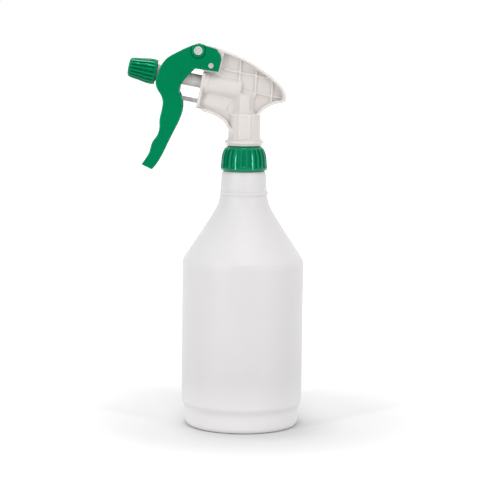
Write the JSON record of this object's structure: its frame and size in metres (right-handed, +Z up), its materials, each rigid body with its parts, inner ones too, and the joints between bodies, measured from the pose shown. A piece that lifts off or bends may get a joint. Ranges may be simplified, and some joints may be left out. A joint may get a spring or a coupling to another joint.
{
  "type": "spray bottle",
  "caption": "Round milky plastic bottle with a ribbed screw collar and a trigger spray head, adjustable nozzle and dip tube.",
  "frame": {"origin": "on the bottle's axis, at the middle of the raised panel of its base", "axes": "+Z up the bottle's axis, -X the way the nozzle points, +Y across the head"},
  "size_m": [0.1282, 0.0878, 0.2761],
  "materials": {
    "bottle_hdpe": "milky, satin",
    "green_plastic": "moulded, semi-gloss",
    "housing_white": "moulded, satin",
    "stem_grey": "moulded, satin",
    "pin_white": "moulded, satin",
    "dip_tube_natural": "extruded, satin",
    "seal_rubber": "matt",
    "spring_steel": "polished"
  },
  "bodies": {
    "bottle": {"bottle": "bottle_hdpe"},
    "neck_seal": {"neck_gasket": "seal_rubber"},
    "collar": {"collar": "green_plastic"},
    "head": {"housing": "housing_white", "body_insert": "housing_white", "dip_tube": "dip_tube_natural", "pivot_pin": "pin_white", "cylinder_gland": "housing_white", "return_spring": "spring_steel"},
    "inlet_valve": {"inlet_ball": "spring_steel"},
    "trigger": {"trigger": "green_plastic", "stop_pin": "pin_white"},
    "plunger": {"plunger": "stem_grey", "plunger_yoke": "stem_grey", "piston_cup": "seal_rubber", "vent_rod": "stem_grey", "vent_cup": "seal_rubber", "outlet_spring": "spring_steel", "swirl_core": "housing_white"},
    "outlet_valve": {"outlet_ball": "spring_steel"},
    "nozzle_travel": {"nozzle_seal": "seal_rubber"},
    "nozzle": {"nozzle_cap": "green_plastic"}
  },
  "joints": [
    {"name": "head_rise", "type": "slide", "parent": "bottle", "child": "neck_seal", "axis": [0, 0, 1], "range_m": [0, 0.00635]},
    {"name": "collar_turn", "type": "hinge", "parent": "neck_seal", "child": "collar", "pos_m": [0, 0, 0.194], "axis": [0, 0, 1], "range_deg": [0, 540]},
    {"name": "head_swivel", "type": "hinge", "parent": "neck_seal", "child": "head", "pos_m": [0, 0, 0.2033], "axis": [0, 0, 1], "continuous": true},
    {"name": "trigger_pull", "type": "hinge", "parent": "head", "child": "trigger", "pos_m": [-0.0333, 0, 0.2708], "axis": [0, -1, 0], "range_deg": [0, 20]},
    {"name": "plunger_slide", "type": "slide", "parent": "head", "child": "plunger", "axis": [0.9816, 0, -0.1908], "range_m": [0, 0.00777], "stiffness_N_per_m": 2000, "springref_m": -0.0078, "deforming": ["return_spring"]},
    {"name": "inlet_lift", "type": "slide", "parent": "head", "child": "inlet_valve", "axis": [0, 0, 1], "range_m": [0, 0.0012]},
    {"name": "outlet_lift", "type": "slide", "parent": "plunger", "child": "outlet_valve", "axis": [-0.9816, 0, 0.1908], "range_m": [0, 0.001], "stiffness_N_per_m": 300, "springref_m": -0.001, "deforming": ["outlet_spring"]},
    {"name": "nozzle_feed", "type": "slide", "parent": "plunger", "child": "nozzle_travel", "axis": [-0.9816, 0, 0.1908], "range_m": [0, 0.003]},
    {"name": "nozzle_turn", "type": "hinge", "parent": "nozzle_travel", "child": "nozzle", "pos_m": [-0.0451, 0, 0.25135], "axis": [-0.9816, 0, 0.1908], "range_deg": [0, 540]}
  ],
  "couplings": [
    {"joint": "collar_turn", "follows": "head_rise", "rad_per_m": 1484.2},
    {"joint": "trigger_pull", "follows": "plunger_slide", "rad_per_m": 44.903},
    {"joint": "nozzle_turn", "follows": "nozzle_feed", "rad_per_m": 3141.5}
  ]
}
